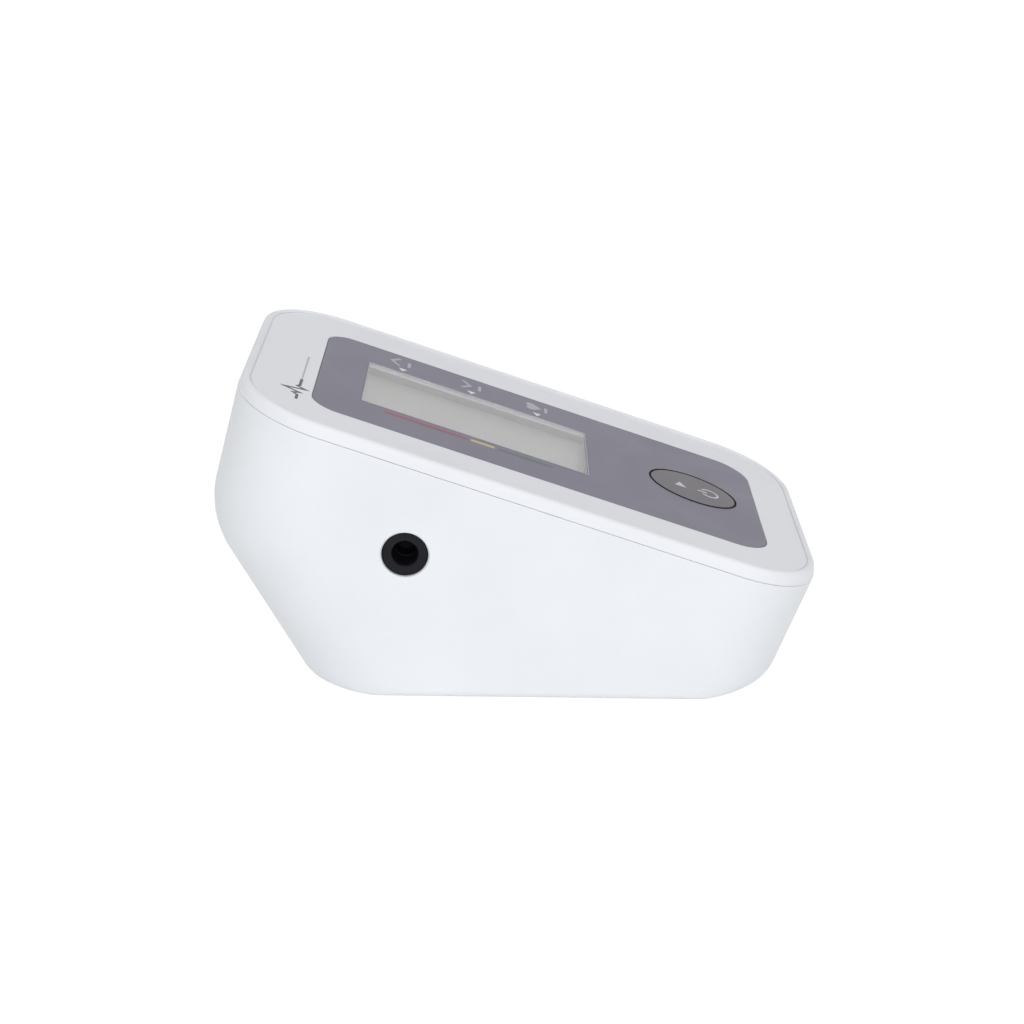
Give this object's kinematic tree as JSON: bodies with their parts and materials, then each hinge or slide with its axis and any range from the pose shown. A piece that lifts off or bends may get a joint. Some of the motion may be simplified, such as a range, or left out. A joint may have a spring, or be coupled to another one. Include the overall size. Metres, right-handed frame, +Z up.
{
  "type": "blood pressure monitor",
  "caption": "Wedge-shaped desk-top blood pressure monitor: sloping grey face with display window and oval start button, black air socket in the side, battery cover beneath.",
  "frame": {"origin": "centre of the overall box on the flat underside", "axes": "+X to the user's right, +Y away from the user (the high rear end), +Z up; the air socket is in the -X side wall"},
  "size_m": [0.074, 0.1212, 0.0636],
  "materials": {
    "housing_white": "satin",
    "frame_white": "matte",
    "panel_grey": "satin",
    "clear_window": "gloss",
    "grey_foam": "matte",
    "display_glass": "satin",
    "pink_elastomer": "matte",
    "button_grey": "satin",
    "black_plastic": "matte",
    "green_board": "satin",
    "board_components": "matte",
    "sensor_body": "matte",
    "socket_black": "satin",
    "silicone_tube": "matte",
    "motor_steel": "satin",
    "black_rubber": "matte",
    "copper_coil": "satin",
    "cell_jacket": "satin",
    "contact_metal": "satin",
    "screw_steel": "satin",
    "red_lead": "satin",
    "black_lead": "satin"
  },
  "bodies": {
    "housing": {"base_housing": "housing_white", "top_cover": "housing_white", "face_panel": "panel_grey", "display_window": "clear_window", "display_gasket": "grey_foam", "display_glass": "display_glass", "display_frame": "frame_white", "contact_strips": "pink_elastomer", "tact_switch": "black_plastic", "main_board": "green_board", "processor_chip": "black_plastic", "board_parts": "board_components", "buzzer": "black_plastic", "pressure_sensor": "sensor_body", "air_socket": "socket_black", "socket_nut": "black_plastic", "air_manifold": "black_plastic", "tube_socket": "silicone_tube", "tube_pump": "silicone_tube", "tube_valve": "silicone_tube", "tube_sensor": "silicone_tube", "pump_motor": "motor_steel", "pump_sleeve": "black_rubber", "pump_head": "black_plastic", "pump_diaphragm": "black_rubber", "pump_clamp": "motor_steel", "valve_frame": "motor_steel", "valve_coil": "copper_coil", "dc_jack": "socket_black", "battery_cell_1": "cell_jacket", "battery_cell_2": "cell_jacket", "battery_cell_3": "cell_jacket", "battery_cell_4": "cell_jacket", "contact_plates": "contact_metal", "contact_springs": "contact_metal", "case_screws": "screw_steel", "board_screws": "screw_steel", "motor_leads": "red_lead", "battery_leads": "black_lead"},
    "button": {"start_button": "button_grey", "tact_plunger": "black_plastic"},
    "battery_door": {"battery_cover": "housing_white"},
    "rotor": {"pump_rotor": "motor_steel"},
    "plunger": {"valve_plunger": "motor_steel"}
  },
  "joints": [
    {"name": "button_press", "type": "slide", "parent": "housing", "child": "button", "axis": [0, 0.3223, -0.9466], "range_m": [0, 0.0006], "stiffness_N_per_m": 800, "springref_m": -0.0003},
    {"name": "battery_door_swing", "type": "hinge", "parent": "housing", "child": "battery_door", "pos_m": [0, 0.023, 0.0003], "axis": [1, 0, 0], "range_deg": [0, 75]},
    {"name": "pump_shaft", "type": "hinge", "parent": "housing", "child": "rotor", "pos_m": [0, 0.0382, 0.0295], "axis": [1, 0, 0], "continuous": true},
    {"name": "valve_release", "type": "slide", "parent": "housing", "child": "plunger", "axis": [1, 0, 0], "range_m": [0, 0.0008], "stiffness_N_per_m": 300, "springref_m": -0.0004}
  ]
}
